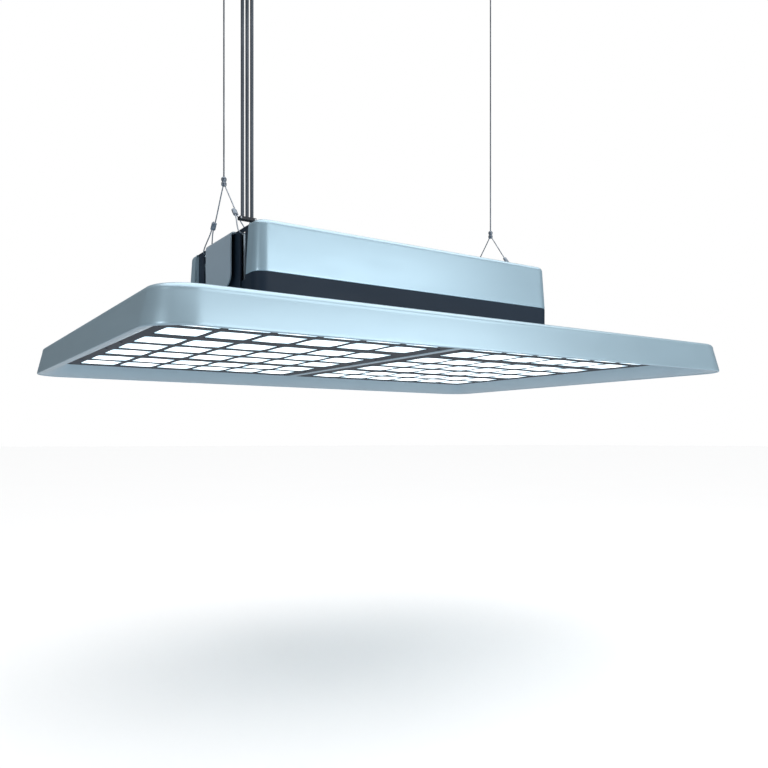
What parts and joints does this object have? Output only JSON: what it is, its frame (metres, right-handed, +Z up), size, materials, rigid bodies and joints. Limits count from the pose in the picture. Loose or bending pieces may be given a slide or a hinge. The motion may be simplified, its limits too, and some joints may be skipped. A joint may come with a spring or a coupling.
{
  "type": "led grow light",
  "caption": "Flat rectangular LED grow light with a driver housing on top, hung from the ceiling on wire bridles, with power cords.",
  "frame": {"origin": "on the ceiling, midway between the two wire fittings", "axes": "+X along the light's long side, away from the power cords, +Z up, -Y towards the side with the power cords"},
  "size_m": [1, 0.75, 0.79],
  "materials": {
    "light_paint": "satin pale blue paint",
    "spine_paint": "satin slate paint",
    "dark_housing": "satin navy paint",
    "window_frame": "matte navy",
    "diffuser": "frosted, lit from behind",
    "seal": "matte black",
    "led_board": "white solder mask",
    "lead": "matte black",
    "wire": "stranded steel",
    "crimp": "dull crimped metal",
    "fitting": "nickel plate",
    "aluminium": "bare",
    "black_plastic": "matte black",
    "power_cord": "dark grey sheath"
  },
  "bodies": {
    "ceiling": {"left_ceiling_base": "fitting", "left_ceiling_nut": "fitting", "right_ceiling_base": "fitting", "right_ceiling_nut": "fitting", "ceiling_cord_plate": "black_plastic", "ceiling_cord_clamp": "black_plastic"},
    "left_suspension": {"left_wire_ball": "fitting", "left_main_wire": "wire", "left_apex_ferrule": "crimp", "left_front_leg": "wire", "left_rear_leg": "wire", "left_front_sleeve": "crimp", "left_rear_sleeve": "crimp"},
    "right_suspension": {"right_wire_ball": "fitting", "right_main_wire": "wire", "right_apex_ferrule": "crimp", "right_front_leg": "wire", "right_rear_leg": "wire", "right_front_sleeve": "crimp", "right_rear_sleeve": "crimp"},
    "light": {"tray_shell": "light_paint", "inner_bezel": "light_paint", "centre_strip": "light_paint", "heat_spreader": "aluminium", "left_window_frame": "window_frame", "left_diffuser": "diffuser", "left_panel_seal": "seal", "left_led_board": "led_board", "left_led_lead": "lead", "left_end_wall": "dark_housing", "right_window_frame": "window_frame", "right_diffuser": "diffuser", "right_panel_seal": "seal", "right_led_board": "led_board", "right_led_lead": "lead", "right_end_wall": "dark_housing", "driver_base": "dark_housing", "front_cover": "light_paint", "rear_cover": "light_paint", "spine_cover": "spine_paint", "terminal_box": "black_plastic", "cord_gland": "black_plastic", "cord_clamp": "black_plastic", "front_driver": "dark_housing", "front_driver_left_cap": "black_plastic", "front_driver_right_cap": "black_plastic", "rear_driver": "dark_housing", "rear_driver_left_cap": "black_plastic", "rear_driver_right_cap": "black_plastic", "left_power_cord": "power_cord", "middle_power_cord": "power_cord", "right_power_cord": "power_cord"}
  },
  "joints": [
    {"name": "left_wire_swing", "type": "hinge", "parent": "ceiling", "child": "left_suspension", "pos_m": [-0.278, 0, -0.0156], "axis": [0, 1, 0], "range_deg": [-12, 12]},
    {"name": "light_level", "type": "hinge", "parent": "left_suspension", "child": "light", "pos_m": [-0.278, 0, -0.599], "axis": [0, 1, 0], "range_deg": [-12, 12]},
    {"name": "right_wire_swing", "type": "hinge", "parent": "ceiling", "child": "right_suspension", "pos_m": [0.278, 0, -0.0156], "axis": [0, 1, 0], "range_deg": [-12, 12]}
  ],
  "couplings": [
    {"joint": "light_level", "follows": "left_wire_swing", "ratio": -1},
    {"joint": "right_wire_swing", "follows": "left_wire_swing", "ratio": 1}
  ]
}
